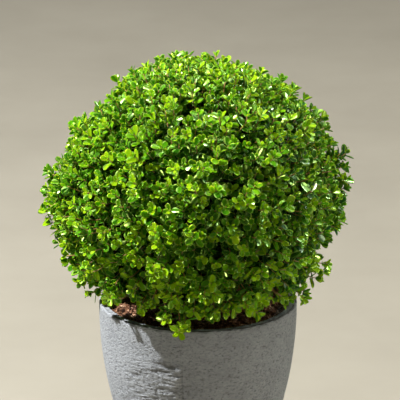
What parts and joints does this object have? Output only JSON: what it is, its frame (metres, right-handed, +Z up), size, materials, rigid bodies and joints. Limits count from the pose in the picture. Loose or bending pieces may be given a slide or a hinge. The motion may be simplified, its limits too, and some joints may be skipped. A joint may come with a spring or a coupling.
{
  "type": "box topiary ball in a planter",
  "caption": "Clipped ball of small-leaved evergreen box on a short stem, planted in an egg-shaped grey clay-fibre planter filled with bark compost.",
  "frame": {"origin": "centre of the planter's flat underside", "axes": "+Z up along the planter's middle line; the front of the plant faces -Y, with +X to its right"},
  "size_m": [0.4205, 0.3935, 0.564],
  "materials": {
    "clay_fibre": "matte, pitted and brushed",
    "compost": "matte, coarse bark and coir",
    "bark": "matte, finely furrowed",
    "box_leaf": "satin, waxy above and paler below"
  },
  "bodies": {
    "root": {"planter": "clay_fibre", "compost": "compost", "stem": "bark", "bough_top": "bark", "bough_upper_1": "bark", "bough_upper_2": "bark", "bough_upper_3": "bark", "bough_upper_4": "bark", "bough_upper_5": "bark", "bough_lower_1": "bark", "bough_lower_2": "bark", "bough_lower_3": "bark", "bough_lower_4": "bark", "bough_lower_5": "bark", "foliage_top": "box_leaf", "foliage_upper_1": "box_leaf", "foliage_upper_2": "box_leaf", "foliage_upper_3": "box_leaf", "foliage_upper_4": "box_leaf", "foliage_upper_5": "box_leaf", "foliage_lower_1": "box_leaf", "foliage_lower_2": "box_leaf", "foliage_lower_3": "box_leaf", "foliage_lower_4": "box_leaf", "foliage_lower_5": "box_leaf"}
  },
  "joints": []
}
